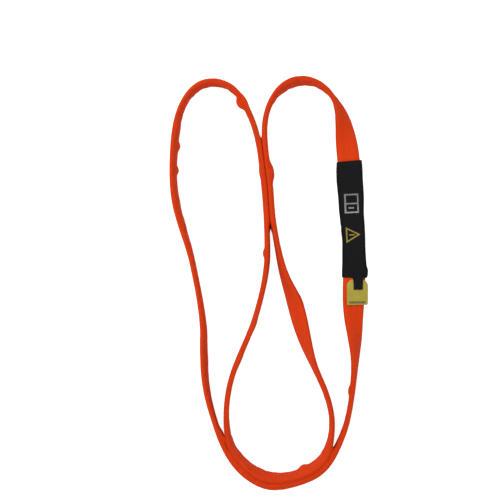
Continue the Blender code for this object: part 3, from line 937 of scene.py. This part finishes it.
def sleeve_rings():
    """Rings as (s, inset) rows: up the outside, round the upper hem, down the inside and back."""
    turn = np.linspace(0, math.pi, 7)[1:-1]
    bend = SLEEVE_WALL / 2
    outer = [(s, 0.0) for s in np.arange(bend - HEM_DROP, SLEEVE_LENGTH - bend, SLEEVE_STEP)]
    roll = [(bend * np.sin(a), bend * (1 - np.cos(a))) for a in turn]
    upper = [(SLEEVE_LENGTH - bend + out, inset) for out, inset in roll]
    inner = [(s, SLEEVE_WALL) for s in np.linspace(SLEEVE_LENGTH - bend, bend - HEM_DROP, 24)]
    lower = [(bend - HEM_DROP - out, SLEEVE_WALL - inset) for out, inset in roll]
    return np.array(outer + upper + inner + lower)


def make_sleeve():
    """The label sleeve: a flat woven tube with turned hems, sewn over the band's lap."""
    rings = sleeve_rings()
    shape = section(BAND_HALF_WIDTH, BAND_HALF_THICKNESS, SLEEVE_POINTS, squareness=5.0)
    across = (shape[:, 0] / BAND_HALF_WIDTH)[None, :]
    rise = (shape[:, 1] / BAND_HALF_THICKNESS)[None, :]
    s, inset = rings[:, :1], rings[:, 1:]
    half_width, half_thickness = sleeve_half(s)
    outside = 1 - inset / SLEEVE_WALL
    spread = np.abs(across) ** 1.5 * np.sign(across) * np.clip(outside + 0.4, 0, 1)
    p = across * (half_width - inset) + sleeve_edge(s, across) * spread
    relief = sleeve_relief(s, across) * np.clip(rise, 0, 1) * outside
    q = rise * (half_thickness - inset) + relief
    centre, width, depth = band_frame(s[:, 0])
    points = centre[:, None] + width[:, None] * p[..., None] + depth[:, None] * q[..., None]
    points[..., 2] = np.maximum(points[..., 2], SLEEVE_LOWEST)
    faces = grid_faces(len(rings) + 1, SLEEVE_POINTS)
    total = len(rings) * SLEEVE_POINTS
    faces = [tuple(k % total for k in face) for face in faces]
    sleeve = mesh_piece("sleeve", points.reshape(-1, 3), faces, BLACK)
    # The edge share says where the sleeve's sides are darkened with painted shade.
    rim = np.minimum(1, 1.6 * np.abs(across) ** 5)
    write_map(sleeve, s, along_outline(shape), rim)
    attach(sleeve, "loop")
    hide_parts("label_sleeve")


# ---------------------------------------------------------------- stitches, tab and tag


def stitch_mesh(name, stitches, radius, finish):
    """Single stitches as (start, end, up) rows: short rounded threads that dip in at both ends."""
    rings, sides = 9, 8
    points, faces = [], []
    for start, end, up in stitches:
        start, end, up = (np.asarray(v, float) for v in (start, end, up))
        run = end - start
        aside = np.cross(run / np.linalg.norm(run), up)
        base = len(points)
        for u in np.linspace(0, 1, rings):
            round_off = math.sqrt(max(0.02, 1 - abs(2 * u - 1) ** 5))
            middle = start + run * u + up * radius * (1.1 * math.sin(math.pi * u) - 0.55)
            for k in range(sides):
                turn = 2 * math.pi * k / sides
                outward = aside * math.cos(turn) + up * math.sin(turn)
                points.append(middle + radius * round_off * outward)
        for face in grid_faces(rings, sides):
            faces.append(tuple(base + k for k in face))
        faces.append(tuple(base + k for k in range(sides)))
        faces.append(tuple(base + (rings - 1) * sides + k for k in range(sides)))
    return mesh_piece(name, points, faces, finish, smooth_angle=70)


def split_run(start, end, pitch, share):
    """Stitches of an even pitch from start to end, each filling its share of the pitch."""
    count = max(1, round(abs(end - start) / pitch))
    steps = np.linspace(start, end, count + 1)
    slack = (1 - share) / 2 * (steps[1] - steps[0])
    return [(low + slack, high - slack) for low, high in zip(steps[:-1], steps[1:])]


def make_hem_stitches():
    """One row of single stitches along each hem of the sleeve."""
    for end, place in zip(("lower", "upper"), HEM_STITCH_PLACES):
        row = []
        runs = split_run(-STITCH_REACH, STITCH_REACH, HEM_STITCH_PITCH, HEM_STITCH_SHARE)
        for low, high in runs:
            ends = [on_band(place, p, sleeve_face(place, p))[0] for p in (low, high)]
            row.append((*ends, band_frame(place)[2][0]))
        piece = stitch_mesh(f"hem_thread_{end}", row, HEM_THREAD_RADIUS, BLACK_THREAD)
        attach(piece, "loop")
        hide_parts(f"sleeve_hem_stitch_{end}")


def band_top(x, y):
    """The height of the band's upper face under the point x, y beside the sleeve's lower hem."""
    s = np.asarray(y, float) - ROUTE[0][1]
    centre, width, depth = band_frame(s.ravel())
    across = (np.ravel(x) - centre[:, 0]) / width[:, 0]
    top = centre + width * across[:, None] + depth * BAND_HALF_THICKNESS
    return top[:, 2].reshape(np.shape(y))


def drape_height(x, y, base):
    """A height above the band, which grows a little towards the tag's lower end."""
    return band_top(x, y) + base + TAG_RISE * np.maximum(0, TAG_TOP_Y - y) / TAG_LENGTH


def soft_sheet(name, y, left, right, columns, height, thickness, rim, finish):
    """A sheet with a rounded rim, from its left and right ends at each y and its lower height."""
    share = np.linspace(0, 1, columns)[None, :]
    x = left[:, None] + (right - left)[:, None] * share
    rows = np.broadcast_to(y[:, None], x.shape)
    low = height(x, rows)
    sheets = [np.stack([x, rows, low + lift], axis=-1).reshape(-1, 3) for lift in (0, thickness)]
    count = len(y) * columns
    flat = grid_faces(len(y), columns, closed_columns=False)
    faces = flat + [tuple(count + k for k in reversed(face)) for face in flat]
    ring = list(range(columns))
    ring += [i * columns + columns - 1 for i in range(1, len(y))]
    ring += [count - 1 - k for k in range(1, columns)]
    ring += [i * columns for i in range(len(y) - 2, 0, -1)]
    for here, there in zip(ring, ring[1:] + ring[:1]):
        faces.append((here, there, count + there, count + here))
    piece = mesh_piece(name, np.concatenate(sheets), faces, finish, smooth_angle=60)
    builder = bmesh.new()
    builder.from_mesh(piece.data)
    bmesh.ops.recalc_face_normals(builder, faces=builder.faces)
    sharp = [e for e in builder.edges if e.calc_face_angle(0) > math.radians(60)]
    bmesh.ops.bevel(builder, geom=sharp, offset=rim, segments=3, profile=0.5, affect="EDGES")
    builder.to_mesh(piece.data)
    builder.free()
    piece.data.shade_smooth()
    return piece


def corner_inset(gap, radius):
    """How far a rounded corner draws the side in, at a gap from the end."""
    short = np.clip(radius - gap, 0, radius)
    return radius - np.sqrt(radius**2 - short**2)


def tag_rows():
    """The tag's rows from its upper end down, closer together round its corners."""
    fine = TAG_TOP_RADIUS * (1 - np.cos(np.linspace(0.12, math.pi / 2, 12)))
    plain = np.linspace(TAG_TOP_RADIUS, TAG_LENGTH - TAG_CORNER_RADIUS, 22)[1:]
    corner = TAG_LENGTH - TAG_CORNER_RADIUS * (1 - np.sin(np.linspace(0, math.pi / 2, 5)[1:]))
    down = np.concatenate([fine, plain, corner])
    inset = corner_inset(down, TAG_TOP_RADIUS) + corner_inset(TAG_LENGTH - down, TAG_CORNER_RADIUS)
    return TAG_TOP_Y - down, np.minimum(inset, TAG_HALF_WIDTH - TAG_END_HALF_WIDTH)


def tag_height(x, y):
    """The tag's underside: it follows the band, with a slight curl at its free corners."""
    out = np.abs(x - TAG_CENTRE_X) / TAG_HALF_WIDTH
    down = np.clip((TAG_TOP_Y - y) / TAG_LENGTH, 0, 1)
    curl = TAG_CURL * out**3 * down**2 + TAG_WAVE * np.sin(x / 0.0023 + y / 0.0031)
    return drape_height(x, y, TAG_GAP) + curl


def make_tag():
    """The yellow identity tag with one plain bar printed near its lower end."""
    y, inset = tag_rows()
    left = TAG_CENTRE_X - TAG_HALF_WIDTH + inset
    right = TAG_CENTRE_X + TAG_HALF_WIDTH - inset
    tag = soft_sheet(
        "tag",
        y,
        left,
        right,
        columns=30,
        height=tag_height,
        thickness=TAG_THICKNESS,
        rim=0.0003,
        finish=TAG_YELLOW,
    )
    low = TAG_TOP_Y - TAG_LENGTH + LINE_INSET
    bar_y = np.linspace(low, low + LINE_HEIGHT, 5)

    def bar_height(x, rows):
        return tag_height(x, rows) + TAG_THICKNESS - LINE_SINK

    bar = soft_sheet(
        "tag_bar",
        bar_y,
        left=np.full(len(bar_y), TAG_CENTRE_X - LINE_HALF_WIDTH),
        right=np.full(len(bar_y), TAG_CENTRE_X + LINE_HALF_WIDTH),
        columns=24,
        height=bar_height,
        thickness=LINE_THICKNESS,
        rim=0.00003,
        finish=TAG_INK,
    )
    for piece, node, slot in ((tag, "id_tag", "tag_sheet"), (bar, "tag_line_print", "tag_ink")):
        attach(piece, "tag_flap")
        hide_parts(node)


def tab_half_width(y):
    """Half the tab's width: widest at the hem, where it is sewn on, and a little less lower down."""
    flare = 0.0002 * smooth_step(y, -0.006, 0.002) + 0.0012 * hill(y, 0.0072, 0.0036)
    return TAB_HALF_WIDTH + flare - corner_inset(y - TAB_LOW_Y, TAB_CORNER_RADIUS)


def tab_height(x, y):
    """The tab's underside: on the sleeve above the hem, and down over it to the tag."""
    s = y - ROUTE[0][1]
    centre, width, _ = band_frame(np.maximum(s, 0).ravel())
    p = ((np.ravel(x) - centre[:, 0]) / width[:, 0]).reshape(np.shape(x))
    on_sleeve = 2 * sleeve_half(0)[1] + sleeve_relief(np.maximum(s, 0), p / BAND_HALF_WIDTH)
    share = smooth_step(y, HINGE_Y + TAB_DROP_REACH, HINGE_Y - TAB_DROP_REACH)
    return on_sleeve * (1 - share) + drape_height(x, y, TAB_BASE) * share


def make_tab():
    """The short black tab: sewn on the sleeve's hem and sewn to the tag."""
    low = TAB_LOW_Y + TAB_CORNER_RADIUS * (1 - np.cos(np.linspace(0, math.pi / 2, 5)[:-1]))
    y = np.concatenate([low, np.arange(TAB_LOW_Y + TAB_CORNER_RADIUS, TAB_ROOT_Y, 0.0006)])[::-1]
    half = tab_half_width(y)
    left, right = TAB_CENTRE_X - half, TAB_CENTRE_X + half
    tab = soft_sheet(
        "tab",
        y,
        left,
        right,
        columns=22,
        height=tab_height,
        thickness=TAB_THICKNESS,
        rim=0.00022,
        finish=BLACK,
    )
    place = np.array([vert.co for vert in tab.data.vertices])
    # The edge share says where the tab's sides are darkened with painted shade.
    rim = np.abs((place[:, 0] - TAB_CENTRE_X) / TAB_RIM) ** 8
    write_map(tab, place[:, 1], place[:, 0], np.minimum(rim, 1))
    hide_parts("tag_tab")
    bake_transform(tab)


def make_tab_stitches():
    """A box of single stitches through the tab and the tag."""
    row = []

    def lay(x_start, y_start, x_end, y_end):
        ends = []
        for x, y in ((x_start, y_start), (x_end, y_end)):
            top = tab_height(np.array([x]), np.array([y]))[0] + TAB_THICKNESS
            ends.append((x, y, top))
        row.append((*ends, (0, 0, 1)))

    for start, end in split_run(BOX_LEFT, BOX_RIGHT, BOX_STITCH_PITCH, BOX_STITCH_SHARE):
        lay(start, BOX_LOW, end, BOX_LOW)
        lay(start, BOX_HIGH, end, BOX_HIGH)
    for start, end in split_run(BOX_LOW, BOX_HIGH, BOX_STITCH_PITCH, BOX_STITCH_SHARE):
        lay(BOX_LEFT, start, BOX_LEFT, end)
        lay(BOX_RIGHT, start, BOX_RIGHT, end)
    piece = stitch_mesh("tab_thread", row, BOX_THREAD_RADIUS, BLACK_THREAD)
    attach(piece, "tag_flap")
    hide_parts("tab_stitch")


make_band()
make_sleeve()
make_hem_stitches()
make_tag()
make_tab()
make_tab_stitches()

# The CAD solids that are seen as they are, or lie hidden inside, take their finishes here.
for finish, names in (
    (YARN, ("core_strand_1", "core_strand_2", "core_strand_3")),
    (ORANGE_THREAD, ("jacket_stitch_1", "jacket_stitch_2")),
    (WHITE_INK, ("book_print", "book_mark_print")),
    (YELLOW_INK, ("triangle_print", "triangle_mark_print")),
):
    for name in names:
        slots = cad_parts[name].data.materials
        slots.clear()
        slots.append(finish)
